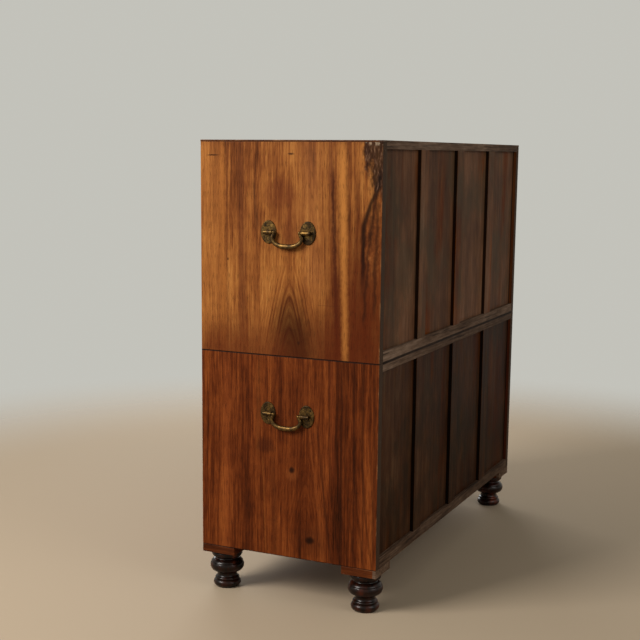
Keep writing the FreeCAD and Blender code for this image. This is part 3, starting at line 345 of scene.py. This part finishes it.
def upper_marks(y, z, x, colour):
    """What time has left on the upper end board, with its figure, painted shade along its bottom, and
    painted highlights on its chipped top edge.
    """
    ragged = noise(y * 55, z * 28, x, 4) - 0.5
    fine = noise(y * 160, z * 120, x, 4) - 0.5
    frayed = y + fine * 0.006 + ragged * 0.006
    for start, end, width, depth, tint in (
        ((-0.190, 1.010), (-0.190, 0.600), 0.055, 0.28, seen(178, 114, 56)),
        ((0.050, 1.010), (0.062, 0.700), 0.040, 0.30, seen(150, 94, 54)),
        ((0.096, 1.006), (0.114, 0.600), 0.010, 0.45, seen(92, 48, 28)),
        ((0.102, 0.950), (0.115, 0.600), 0.006, 0.85, seen(62, 28, 15)),
        ((0.122, 1.010), (0.136, 0.560), 0.017, 0.65, seen(184, 120, 58)),
        ((0.086, 1.010), (0.092, 0.700), 0.006, 0.40, seen(160, 102, 50)),
        ((0.160, 0.930), (0.154, 0.560), 0.012, 0.55, seen(82, 38, 17)),
        ((0.112, 0.740), (0.119, 0.560), 0.016, 0.60, seen(66, 30, 15)),
        ((0.178, 0.800), (0.184, 0.560), 0.022, 0.60, seen(74, 33, 15)),
        ((-0.160, 1.010), (-0.158, 0.560), 0.011, 0.55, seen(166, 102, 46)),
        ((-0.149, 1.010), (-0.147, 0.560), 0.004, 0.45, seen(90, 46, 22)),
        ((-0.115, 1.010), (-0.110, 0.560), 0.016, 0.40, seen(100, 54, 29)),
        ((-0.080, 0.800), (-0.076, 0.560), 0.010, 0.30, seen(158, 96, 46)),
        ((-0.085, 0.930), (-0.074, 0.830), 0.006, 0.45, seen(80, 47, 25)),
        ((-0.058, 0.950), (-0.060, 0.870), 0.014, 0.35, seen(166, 104, 48)),
        ((-0.200, 1.010), (-0.203, 0.560), 0.010, 0.30, seen(158, 98, 46)),
    ):
        colour = (streak(frayed, z, start, end, width) * depth).mix(colour, tint)
    # Patches darken the board. Those along its bottom are partly the dark heart of the figure and partly
    # painted shade, deepest towards the lower rear; the two higher ones are figure.
    for middle, reach, depth, tint in (
        ((0.075, 0.560), (0.085, 0.120), 0.80, seen(84, 36, 14)),
        ((0.006, 0.566), (0.062, 0.160), 0.90, seen(52, 19, 5)),
        ((-0.020, 0.905), (0.050, 0.040), 0.50, seen(98, 46, 24)),
        ((0.010, 0.850), (0.035, 0.075), 0.35, seen(108, 54, 29)),
        ((0.185, 0.570), (0.140, 0.340), 0.90, seen(82, 31, 10)),
        ((-0.120, 0.530), (0.190, 0.130), 0.80, seen(92, 40, 16)),
    ):
        dark_figure_and_shade = patch(y + ragged * 0.03, z + ragged * 0.03, middle, reach)
        colour = (dark_figure_and_shade * depth).mix(colour, tint)
    gold = streak(frayed, z, (0.123, 1.010), (0.136, 0.540), 0.012)
    colour = (gold * 0.6).mix(colour, seen(184, 118, 56))
    # Two short dents lie under the top edge, and two pin knots and a scratch lower down.
    for middle, reach in (((-0.183, 0.983), (0.019, 0.0022)), ((0.005, 0.987), (0.009, 0.003))):
        dash = patch(y, z + ragged * 0.003, middle, reach)
        colour = (dash * 0.85).mix(colour, seen(52, 26, 14))
    for middle, reach in (((-0.1465, 0.760), (0.0028, 0.0045)), ((0.026, 0.587), (0.004, 0.005))):
        spot = patch(y, z, middle, reach)
        colour = (spot * 0.8).mix(colour, seen(48, 22, 10))
    scratch = streak(z, y, (0.671, 0.071), (0.671, 0.117), 0.0012)
    colour = (scratch * 0.4).mix(colour, seen(70, 34, 18))
    # A crack leans back as it climbs, with burl behind it and splinters below.
    climb = z.between(0.80, 0.945)
    split = climb * climb * 0.0365 + 0.1725
    beside = y - split + ragged * 0.010
    burl = beside.between(0.0, 0.006) * z.between(0.70, 0.80) * z.between(0.965, 0.93)
    colour = (burl * 0.75).mix(colour, (fine + ragged + 0.5).ramp(wood_ramp(
        seen(58, 25, 11), seen(94, 46, 20), seen(128, 70, 32), seen(170, 110, 60)
    )))
    near_split = beside.math("ABSOLUTE").between(0.0085, 0.0012)
    crack = near_split * z.between(0.66, 0.78) * z.between(0.97, 0.94)
    colour = (crack * 0.9).mix(colour, seen(28, 13, 8))
    splintered = y + ragged * 0.016
    for start, end, width, depth in (
        ((0.204, 0.930), (0.184, 0.810), 0.007, 0.80),
        ((0.187, 0.820), (0.176, 0.640), 0.006, 0.65),
        ((0.203, 0.880), (0.198, 0.660), 0.007, 0.65),
    ):
        colour = (streak(splintered, z, start, end, width) * depth).mix(colour, seen(40, 19, 10))
    # Furrowed bark is left on the upper rear corner, and the top edge is chipped there.
    slant = y + z * 0.26 + ragged * 0.055 + fine * 0.02
    bark = slant.between(0.418, 0.438) * (z + ragged * 0.13).between(0.885, 0.935)
    furrows = noise(y * 240, z * 70, x, 4) - 0.5
    colour = (bark * 0.92).mix(colour, (furrows * 2.4 + 0.42).ramp(wood_ramp(
        seen(14, 8, 6), seen(36, 21, 14), seen(64, 42, 30), seen(116, 88, 67)
    )))
    # Painted highlights: the chips along the top edge at the rear are painted pale where they catch the
    # light.
    chip_highlights = (y + ragged * 0.05).between(0.158, 0.172) * (z + ragged * 0.012).between(1.0035, 1.009)
    colour = (chip_highlights * fine.between(0.0, 0.1) * 0.6).mix(colour, seen(176, 152, 126))
    return colour


def lower_marks(y, z, x, colour):
    """What time has left on the lower end board."""
    ragged = noise(y * 40, z * 20, x, 4) - 0.5
    frayed = y + ragged * 0.008
    # Dark stripes stand towards the rear, and bow out round the knots.
    bow_start, stripe_gap = 0.42, 0.019
    below = (z * -1 + bow_start).math("MAXIMUM", 0)
    bowed = (frayed - below * below * 0.30) * (2 * math.pi / stripe_gap)
    stripes = bowed.math("SINE").between(0.35, 0.95) * y.between(0.070, 0.100) * y.between(0.214, 0.190)
    colour = (stripes * 0.42).mix(colour, seen(50, 20, 7))
    for start, end, width, depth, tint in (
        ((0.128, 0.550), (0.131, 0.110), 0.005, 0.70, seen(46, 19, 8)),
        ((0.158, 0.540), (0.160, 0.110), 0.003, 0.55, seen(50, 21, 9)),
        ((0.178, 0.545), (0.182, 0.110), 0.004, 0.50, seen(52, 23, 10)),
        ((0.204, 0.550), (0.206, 0.110), 0.007, 0.45, seen(54, 25, 11)),
        ((0.043, 0.470), (0.090, 0.110), 0.004, 0.45, seen(132, 68, 30)),
        ((0.070, 0.420), (0.106, 0.110), 0.005, 0.45, seen(52, 22, 9)),
        ((-0.060, 0.330), (-0.052, 0.110), 0.003, 0.50, seen(132, 72, 30)),
        ((-0.070, 0.545), (-0.073, 0.330), 0.007, 0.40, seen(122, 66, 28)),
        ((-0.036, 0.330), (-0.028, 0.110), 0.012, 0.45, seen(62, 26, 10)),
        ((-0.100, 0.230), (-0.096, 0.110), 0.011, 0.45, seen(66, 28, 11)),
        ((-0.150, 0.545), (-0.152, 0.110), 0.012, 0.35, seen(126, 62, 28)),
        ((0.105, 0.545), (0.110, 0.300), 0.010, 0.35, seen(112, 52, 24)),
    ):
        colour = (streak(frayed, z, start, end, width) * depth).mix(colour, tint)
    for middle, reach, depth, tint in (
        ((-0.052, 0.354), (0.030, 0.022), 0.60, seen(58, 25, 11)),
        ((0.012, 0.296), (0.017, 0.020), 0.40, seen(132, 72, 34)),
        ((0.012, 0.305), (0.008, 0.010), 0.95, seen(32, 14, 7)),
        ((0.057, 0.150), (0.050, 0.045), 0.40, seen(54, 23, 10)),
        ((0.057, 0.152), (0.014, 0.011), 0.95, seen(30, 13, 6)),
        ((0.164, 0.270), (0.003, 0.0015), 0.7, seen(44, 20, 10)),
    ):
        mark = patch(y + ragged * 0.012, z + ragged * 0.012, middle, reach)
        colour = (mark * depth).mix(colour, tint)
    return colour


for case, end, box, tones, heart, peak, seed, arches, marks in (
    ("upper", "right", upper_box, upper_tones, 0.005, 0.724, 3.1, 1.0, upper_marks),
    ("upper", "left", upper_box, upper_tones, -0.03, 0.80, 17.4, 0.8, None),
    ("lower", "right", lower_box, lower_tones, 0.045, 0.36, 9.7, 0.35, lower_marks),
    ("lower", "left", lower_box, lower_tones, 0.02, 0.42, 23.2, 0.5, None),
):
    polished = end_board(f"{case}_end_{end}", box, tones, heart, peak, seed, arches, marks)
    give(polished, f"{case}_side_{end}")


# The tops and floors of the cases, the rails between the drawers and the partition are the
# same hardwood, with the grain along each board. Their rear edges are weathered and split, and
# dirt fills the joint between the cases.
panel_plane = 0.2055
weathered_tones = wood_ramp(seen(52, 36, 26), seen(80, 60, 46), seen(104, 82, 66), seen(138, 114, 96))


def case_board_finish(name, axes, box, tones, seed, scuff=0.55, ends=0.75):
    material, shader, places = new_finish(name)
    x, y, z = places
    across, along, through = laid_out(axes, places)
    wander = noise(across * 4, along * 1.1, through * 4 + seed, 2) - 0.5
    tone = figure(across + wander * 0.03, along, through, seed)
    holes = pores(across, along, through, seed)
    worn = arris(places, *box, 0.003)
    scuffed = worn * noise(along * 18, across * 22, through * 70, 6, 0.72).between(0.48, 0.68)
    rubbed = noise(across * 2.4, along * 1.9, through * 3 + seed, 3)
    tone = tone + (rubbed - 0.5) * 0.4
    colour = (holes * 0.45).mix(tone.ramp(tones), old_dirt)
    rear = y.between(panel_plane, panel_plane + 0.0007)
    colour = rear.mix(colour, tone.ramp(weathered_tones))
    splits = noise(x * 7, y * 40, z * 300 + seed, 3).between(0.56, 0.66)
    colour = (rear * splits * 0.7).mix(colour, old_dirt)
    outward, backward = x.math("ABSOLUTE"), y.math("ABSOLUTE")
    end_grain = outward.between(half_width - 0.0012, half_width - 0.0004)
    colour = (end_grain * ends).mix(colour, seen(46, 24, 14))
    colour = (scuffed * scuff).mix(colour, worn_wood)
    rim_across = outward.between(half_width - 0.0030, half_width - 0.0008)
    rim_back = backward.between(half_depth - 0.0035, half_depth - 0.0013)
    rim = (rim_across + rim_back).between(0, 1)
    seam = (z - joint_height).math("ABSOLUTE").between(0.0042, 0.0018) * rim
    colour = (seam * 0.9).mix(colour, old_dirt)
    shine = (rubbed - 0.5) * 0.25 + holes * 0.2 + rear * 0.3 + 0.38
    height = tone * 0.25 - holes + rear * noise(along * 18, across * 120, through * 120, 4) * 5
    connect(shader, height, 0.00022, base_color=colour, roughness=shine)
    return material


for name, axes, box, tones, seed, boards in (
    ("upper_case_boards", "yxz", upper_box, upper_tones, 31.0, ("upper_top", "upper_bottom")),
    ("lower_case_boards", "yxz", lower_box, lower_tones, 37.0, ("lower_top", "lower_bottom")),
    ("upper_rail", "zxy", upper_box, upper_tones, 41.0, ("upper_blade",)),
    ("lower_rail", "zxy", lower_box, lower_tones, 43.0, ("lower_blade",)),
    ("divider", "yzx", upper_box, upper_tones, 47.0, ("upper_partition",)),
):
    give(case_board_finish(name, axes, box, tones, seed), *boards)


# The backs are framed from upright boards with thin panels sunk between them, stained dark and
# never polished. They are dry and dusty, with grey haze in patches, and painted shade with some
# dirt darkens the recesses beside the uprights.
bay = 2 * half_width / 4
upright_half, shade_width = 0.0243, 0.0042


def back_finish(name, tones, haze, seed, sunk):
    material, shader, places = new_finish(name, 0.03)
    x, y, z = places
    wander = noise(x * 4, z * 1.3, y + seed, 2) - 0.5
    tone = figure(x + wander * 0.02, z, y, seed, broad=0.55, fine=0.6)
    bay_number = (x / bay).math("FLOOR") + seed
    board = x.node("TexWhiteNoise", {"noise_dimensions": "1D"}, {"W": bay_number})
    tone = tone + (board - 0.5) * 0.25 + (noise(x * 5, z * 4, y + seed, 5) - 0.5) * 0.8
    colour = tone.ramp(tones)
    rust = noise(x * 14, z * 2.2, y + seed, 3).between(0.50, 0.70)
    colour = (rust * 0.5).mix(colour, tones[2][1]).node(
        "HueSaturation", {}, {"Hue": rust * -0.012 + 0.5, "Saturation": rust * 0.25 + 1, "Color": colour}
    )
    hazy = noise(x * 9, z * 6, y + seed, 6, 0.68).between(0.44, 0.64)
    colour = (hazy * 0.55).mix(colour, haze)
    dusty = noise(x * 40, z * 14, y + seed, 4).between(0.50, 0.80)
    colour = (dusty * 0.3).mix(colour, tones[3][1])
    # Painted shade, with some dirt: the panels beside the uprights and the uprights' sunk sides are
    # darkened nearly to black.
    if sunk:
        from_upright = x.math("PINGPONG", bay / 2)
        corner = from_upright.between(upright_half + shade_width, upright_half)
    else:
        corner = y.between(half_depth - 0.0004, half_depth - 0.0014)
    colour = (corner * 0.85).mix(colour, seen(14, 9, 6))
    shine = dusty * 0.15 + 0.52
    height = tone * 0.6 + noise(x * 260, z * 10, y, 3) * 1.2
    connect(shader, height, 0.0003, base_color=colour, roughness=shine)
    return material


panel_tones = wood_ramp(seen(50, 30, 19), seen(81, 52, 34), seen(106, 71, 48), seen(132, 98, 74))
# The lower back's tones and haze are darker than the upper's: partly its own wood, partly painted shade
# low down near the floor.
low_panel_tones = wood_ramp(seen(26, 12, 6), seen(47, 26, 13), seen(66, 39, 22), seen(92, 64, 42))
for case, tones, haze, seed in (
    ("upper", panel_tones, seen(66, 56, 40), 51.0),
    ("lower", low_panel_tones, seen(34, 27, 17), 57.0),
):
    give(back_finish(f"{case}_back_panels", tones, haze, seed, True), f"{case}_panels")
    give(back_finish(f"{case}_back_uprights", tones, haze, seed + 10, False), f"{case}_muntins")


# The feet screw up through square blocks of the case's wood. They are turned from dark
# close-grained wood and french polished to a gloss; the quirks of the turning are painted dark.
block_tones = wood_ramp(seen(48, 20, 8), seen(76, 34, 13), seen(98, 48, 20), seen(120, 62, 28))
foot_height = 0.087
block_box = ((-half_width, -half_depth, foot_height), (half_width, half_depth, underside))
give(
    case_board_finish("foot_block_wood", "zyx", block_box, block_tones, 71.0, scuff=0.15, ends=0.15),
    "foot_blocks",
)
foot_finish, foot_shader, (x, y, z) = new_finish("foot_polish", 0.14)
ringed = noise(x * 60, y * 60, z * 14, 3)
foot_tones = wood_ramp(seen(8, 4, 3), seen(20, 8, 4), seen(48, 18, 8), seen(100, 42, 18))
warmer = y.between(-0.1, 0.1) * 0.13
foot_colour = ((ringed - 0.5) * 1.5 + noise(x * 9, y * 9, z * 22, 2) * 0.8 + warmer).ramp(foot_tones)
# The quirks of the turning are painted dark.
for quirk_height in (0.0182, 0.0590, 0.0718):
    groove = (z - quirk_height).math("ABSOLUTE").between(0.0014, 0.0003)
    foot_colour = (groove * 0.8).mix(foot_colour, old_dirt)
foot_shader.inputs["Coat Roughness"].default_value = 0.12
connect(foot_shader, noise(x * 30, y * 30, z * 60, 2), 0.0003, base_color=foot_colour,
        roughness=ringed * 0.2 + 0.22, coat_weight=0.16)
give(foot_finish, *[f"foot_{depth}_{end}" for depth in ("front", "back") for end in ("left", "right")])


# The drawers have hardwood fronts with the grain across, dovetailed to sides and backs of a
# plain pale wood, and thin bottoms of the same. The dustboards and dowels are pale wood too.
front_inside = -0.1995


def front_finish(name, node, tones, seed):
    low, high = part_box(node)
    width, heart = high.x - low.x, (low.z + high.z) / 2
    material, shader, places = new_finish(name)
    x, y, z = places
    wander = noise(z * 4, x * 1.2, y + seed, 2) - 0.5
    straight = z + wander * 0.03
    rings = nested_arches(straight, x, heart, low.x + 0.6 * width, 0.10)
    arched = patch(z, x, (heart, low.x + 0.4 * width), (0.08, 0.22))
    tone = figure(straight, x, y, seed)
    tone = tone + (figure(rings, x, y, seed + 2.0) - tone) * arched
    holes = pores(z, x, y, seed)
    worn = arris(places, low, high, 0.0025)
    scuffed = worn * noise(x * 18, z * 22, y * 90, 6, 0.72).between(0.48, 0.68)
    rubbed = noise(z * 3, x * 2, y + seed, 3)
    tone = tone + (rubbed - 0.5) * 0.35
    colour = (holes * 0.45).mix(tone.ramp(tones), old_dirt)
    colour = (scuffed * 0.6).mix(colour, worn_wood)
    inside = y.between(front_inside, front_inside + 0.001)
    colour = inside.mix(colour, seen(112, 74, 46))
    shine = (rubbed - 0.5) * 0.22 + holes * 0.2 + inside * 0.3 + 0.36
    connect(shader, tone * 0.25 - holes, 0.00022, base_color=colour, roughness=shine)
    return material


drawer_names = ("short_left", "short_right", "long_upper", "long_middle", "long_lower")
for order, name in enumerate(drawer_names):
    tones = lower_tones if order > 2 else upper_tones
    give(front_finish(f"{name}_face", f"{name}_front", tones, 80.0 + 3.7 * order), f"{name}_front")


lining_tones = wood_ramp(seen(118, 82, 52), seen(152, 112, 74), seen(178, 138, 96), seen(200, 164, 122))


def lining_finish(name, axes, seed):
    material, shader, places = new_finish(name)
    across, along, through = laid_out(axes, places)
    tone = figure(across, along, through, seed, broad=0.6, fine=0.9)
    grubby = noise(across * 7, along * 5, through * 7 + seed, 4).between(0.45, 0.75)
    colour = (grubby * 0.35).mix(tone.ramp(lining_tones), seen(96, 66, 44))
    connect(shader, tone, 0.00025, base_color=colour, roughness=grubby * 0.1 + 0.62)
    return material


give(lining_finish("drawer_sides_wood", "zyx", 101.0), *[f"{name}_sides_back" for name in drawer_names])
give(lining_finish("drawer_bottom_wood", "yxz", 103.0), *[f"{name}_bottom" for name in drawer_names])
give(lining_finish("dustboard_wood", "yxz", 107.0), "upper_dustboard", "lower_dustboard")
give(lining_finish("dowel_wood", "xzy", 109.0), "dowels")


# The brass is cast and old. The carrying handles are nearly black in the hollows, and rubbed
# to gold where hands and cloths reach; the sunk pulls are cleaner.
def brass_finish(name, tarnish, polish, rub_low, rub_high, seed):
    material, shader, places = new_finish(name, 0.4)
    x, y, z = places
    blotches = noise(x * 55, y * 55, z * 55 + seed, 4)
    spots = noise(x * 240, y * 240, z * 240 + seed, 3)
    bare = (blotches * 0.65 + spots * 0.35).between(rub_low, rub_high)
    colour = bare.mix(tarnish, polish)
    connect(shader, spots, 0.00008, base_color=colour, metallic=bare * 0.15 + 0.85,
            roughness=spots * 0.2 + bare * -0.1 + 0.36)
    return material


give(brass_finish("plate_brass", seen(44, 31, 15), seen(122, 92, 48), 0.42, 0.70, 5.0),
     "upper_rosettes", "lower_rosettes")
give(brass_finish("screw_brass", seen(36, 26, 14), seen(140, 108, 60), 0.42, 0.62, 8.0),
     "upper_handle_screws", "lower_handle_screws")


# The carrying handles are brass bows, thick in the middle and thinner towards the beads, which
# turn against the barrels of the oval plates. Each was cast in one with its beads and pins.
def alone(piece):
    bpy.ops.object.select_all(action="DESELECT")
    piece.select_set(True)
    bpy.context.view_layer.objects.active = piece


def applied(name):
    """The object just added, named, with its place and turn in its mesh."""
    bpy.ops.object.transform_apply(location=True, rotation=True, scale=True)
    bpy.context.object.name = name
    return bpy.context.object


def combine(piece, other, operation="UNION"):
    """Welds another closed piece on, or cuts it out, and uses it up."""
    alone(piece)
    change = piece.modifiers.new("change", "BOOLEAN")
    change.operation = operation
    change.object = other
    change.solver = "EXACT"
    bpy.ops.object.modifier_apply(modifier="change")
    bpy.data.objects.remove(other)


def copied(piece, name, shift):
    twin = piece.copy()
    twin.data = piece.data.copy()
    twin.name = name
    bpy.context.scene.collection.objects.link(twin)
    twin.data.transform(Matrix.Translation(shift))
    return twin


def settle(piece, name, material, body, replaced):
    """Finishes a piece: its name, its finish, and what it moves with and stands for."""
    piece.name = name
    piece.data.materials.clear()
    piece.data.materials.append(material)
    alone(piece)
    bpy.ops.object.shade_smooth_by_angle(angle=math.radians(40))
    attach(piece, body)
    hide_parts(replaced)


bead_across, bead_radius = 0.0304, 0.004
pin_radius, pin_length = 0.0026, 0.0196
bow_half = [
    # across and down, the way the bow runs there, and its thickness
    ((bead_across, 0.0), (0.06, -1.0), 0.0070),
    ((0.0350, -0.0125), (0.0, -1.0), 0.0080),
    ((0.0225, -0.0262), (-1.0, -0.42), 0.0098),
    ((0.0, -0.0297), (-1.0, 0.0), 0.0112),
]
other_half = [((-at[0], at[1]), (lean[0], -lean[1]), thick) for at, lean, thick in bow_half[-2::-1]]
whole_bow = bow_half + other_half
flattened, fullness = 0.84, 0.36
alone(floor)
bpy.ops.curve.primitive_bezier_curve_add()
bow = bpy.context.object
bow.data.dimensions = "3D"
bow.data.bevel_depth = 0.5
bow.data.bevel_resolution = 7
bow.data.resolution_u = 10
bow.data.use_fill_caps = True
line = bow.data.splines[0]
line.bezier_points.add(len(whole_bow) - 2)
spots = [Vector((0, *at)) for at, lean, thick in whole_bow]
for index, (knot, (at, lean, thick)) in enumerate(zip(line.bezier_points, whole_bow)):
    knot.handle_left_type = knot.handle_right_type = "FREE"
    here, heading = spots[index], Vector((0, *lean)).normalized()
    before = (here - spots[max(index - 1, 0)]).length
    after = (here - spots[min(index + 1, len(spots) - 1)]).length
    knot.co = here
    knot.handle_left = here - heading * (before * fullness)
    knot.handle_right = here + heading * (after * fullness)
    knot.radius = thick
bpy.ops.object.convert(target="MESH")
bpy.context.object.scale.x = flattened
bow = applied("bow")
for side in (-1, 1):
    bpy.ops.object.select_all(action="DESELECT")
    bpy.ops.mesh.primitive_uv_sphere_add(
        segments=32, ring_count=20, radius=bead_radius, location=(0, side * bead_across, 0),
        rotation=(math.pi / 2, 0, 0),
    )
    combine(bow, applied("bead"))
    bpy.ops.object.select_all(action="DESELECT")
    bpy.ops.mesh.primitive_cylinder_add(
        vertices=32, radius=pin_radius, depth=pin_length,
        location=(0, side * (bead_across + pin_length / 2), 0), rotation=(math.pi / 2, 0, 0),
    )
    combine(bow, applied("pin"))
handle_finish = brass_finish("handle_brass", seen(52, 38, 20), seen(126, 95, 50), 0.38, 0.72, 2.0)
for case in ("upper", "lower"):
    for end in ("left", "right"):
        node = f"{case}_{end}_handle"
        low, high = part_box(node)
        fitted = copied(bow, "carrying_bow", ((low.x + high.x) / 2, 0, high.z - bead_radius))
        settle(fitted, f"{node}_bow", handle_finish, f"{node}_bail", node)
bpy.data.objects.remove(bow)


# The drawers' pulls are brass plates let in flush, each with a rounded cup for the fingers and
# four slotted screws. A round plate guards each keyhole, and the lock is cut in behind it.
def block(name, size, middle):
    bpy.ops.object.select_all(action="DESELECT")
    bpy.ops.mesh.primitive_cube_add(size=1, location=middle, scale=size)
    return applied(name)


def round_bar(name, radius, length, middle, narrow=None):
    """A round bar or cone along the depth of the chest, its first radius at the front."""
    bpy.ops.object.select_all(action="DESELECT")
    bpy.ops.mesh.primitive_cone_add(
        vertices=32, radius1=radius, radius2=radius if narrow is None else narrow, depth=length,
        location=middle, rotation=(-math.pi / 2, 0, 0),
    )
    return applied(name)


def pick(piece, kind, test):
    """In edit mode, selects only the faces or edges that pass a test."""
    mesh = bmesh.from_edit_mesh(piece.data)
    bpy.ops.mesh.select_mode(type=kind)
    bpy.ops.mesh.select_all(action="DESELECT")
    for item in mesh.faces if kind == "FACE" else mesh.edges:
        item.select_set(test(item))
    bmesh.update_edit_mesh(piece.data)


def at_depth(item, depth):
    return all(abs(corner.co.y - depth) < 1e-5 for corner in item.verts)


def middle_face(face, depth, width):
    """Whether a face lies at a depth about the middle, and is no wider than a width."""
    central = face.calc_center_median().length < depth + 1e-3
    reach = max(abs(corner.co.x) for corner in face.verts)
    return at_depth(face, depth) and central and reach < width / 2 + 1e-4


def sharp(edge):
    return len(edge.link_faces) == 2 and edge.calc_face_angle() > 0.9


def rounded(piece, test, width, segments):
    alone(piece)
    bpy.ops.object.mode_set(mode="EDIT")
    pick(piece, "EDGE", test)
    bpy.ops.mesh.bevel(offset=width, segments=segments, affect="EDGES")
    bpy.ops.object.mode_set(mode="OBJECT")


plate_width, plate_height, plate_thickness, cup_depth = 0.090, 0.056, 0.002, 0.010
plate_size = (plate_width, plate_thickness, plate_height)
sunk_plate = block("sunk_plate", plate_size, (0, plate_thickness / 2, 0))
alone(sunk_plate)
bpy.ops.object.mode_set(mode="EDIT")
# The cup is pushed out behind the plate, and then hollowed from the front.
for face_depth, margin, width, height, corner, deep in (
    (plate_thickness, 0.005, 0.072, 0.046, 0.006, 0.0095),
    (0.0, 0.008, 0.066, 0.040, 0.005, cup_depth),
):
    pick(sunk_plate, "FACE", lambda face: at_depth(face, face_depth))
    bpy.ops.mesh.inset(thickness=margin, depth=0)
    bpy.ops.transform.resize(
        value=(width / (plate_width - 2 * margin), 1, height / (plate_height - 2 * margin)),
        center_override=(0, face_depth, 0),
    )
    bpy.ops.mesh.bevel(offset=corner, segments=5, affect="VERTICES")
    pick(sunk_plate, "FACE", lambda face: middle_face(face, face_depth, width))
    bpy.ops.mesh.extrude_region_move(TRANSFORM_OT_translate={"value": (0, deep, 0)})
bpy.ops.object.mode_set(mode="OBJECT")
rounded(sunk_plate, lambda edge: at_depth(edge, cup_depth) and sharp(edge), 0.0025, 4)
rounded(sunk_plate, lambda edge: at_depth(edge, 0) and sharp(edge), 0.0005, 3)
screw_corners = [(across, up) for across in (-0.039, 0.039) for up in (-0.022, 0.022)]
for across, up in screw_corners:
    combine(sunk_plate, round_bar("seat", 0.0031, 0.003, (across, 0.0014, up), 0.0013), "DIFFERENCE")
screw = round_bar("screw", 0.0028, 0.0014, (0, 0.0010, 0), 0.0016)
rounded(screw, lambda edge: sharp(edge) and edge.verts[0].co.y < 0.0008, 0.0002, 2)
combine(screw, block("slot", (0.008, 0.0012, 0.0007), (0, 0.0004, 0)), "DIFFERENCE")

escutcheon = round_bar("escutcheon", 0.010, 0.0012, (0, 0.0006, 0))
rounded(escutcheon, lambda edge: at_depth(edge, 0), 0.0005, 3)
combine(escutcheon, round_bar("key_round", 0.0035, 0.01, (0, 0, 0)), "DIFFERENCE")
combine(escutcheon, block("key_slot", (0.003, 0.01, 0.009), (0, 0, -0.0045)), "DIFFERENCE")
lock_back, lock_thickness = 0.020, 0.010
lock = block("lock", (0.062, lock_thickness, 0.040), (0, lock_back - lock_thickness / 2, 0.004))
rounded(lock, lambda edge: at_depth(edge, lock_back), 0.0008, 3)
for across, up in ((-0.026, -0.011), (0.026, -0.011), (-0.026, 0.019), (0.026, 0.019)):
    combine(lock, round_bar("rivet_seat", 0.0012, 0.002, (across, 0.0196, up), 0.0026), "DIFFERENCE")

pull_finish = brass_finish("pull_brass", seen(86, 66, 34), seen(172, 138, 80), 0.36, 0.62, 11.0)
pulls = {name: [f"{name}_pull"] for name in drawer_names[:2]}
pulls.update({name: [f"{name}_pull_left", f"{name}_pull_right"] for name in drawer_names[2:]})
bail_above_middle, keyhole_below_top = 0.0145, 0.030
for name, bails in pulls.items():
    give(pull_finish, *bails)
    low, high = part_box(f"{name}_front")
    face = low.y
    fittings = []
    for bail in bails:
        bail_low, bail_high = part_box(bail)
        middle = Vector(((bail_low.x + bail_high.x) / 2, face, bail_high.z - bail_above_middle))
        fittings.append(copied(sunk_plate, "plate", middle))
        for order, (across, up) in enumerate(screw_corners):
            fitted = copied(screw, "screw", (0, 0, 0))
            slot_turn = 0.7 * order + middle.x * 9 + middle.z * 5
            fitted.data.transform(Matrix.Rotation(slot_turn, 4, "Y"))
            fitted.data.transform(Matrix.Translation(middle + Vector((across, 0, up))))
            fittings.append(fitted)
    keyhole = Vector(((low.x + high.x) / 2, face, high.z - keyhole_below_top))
    fittings += [copied(escutcheon, "escutcheon", keyhole), copied(lock, "lock", keyhole)]
    bpy.ops.object.select_all(action="DESELECT")
    for fitting in fittings:
        fitting.select_set(True)
    bpy.context.view_layer.objects.active = fittings[0]
    bpy.ops.object.join()
    settle(fittings[0], f"{name}_fittings", pull_finish, f"{name}_drawer", f"{name}_brass")
for pattern in (sunk_plate, screw, escutcheon, lock):
    bpy.data.objects.remove(pattern)
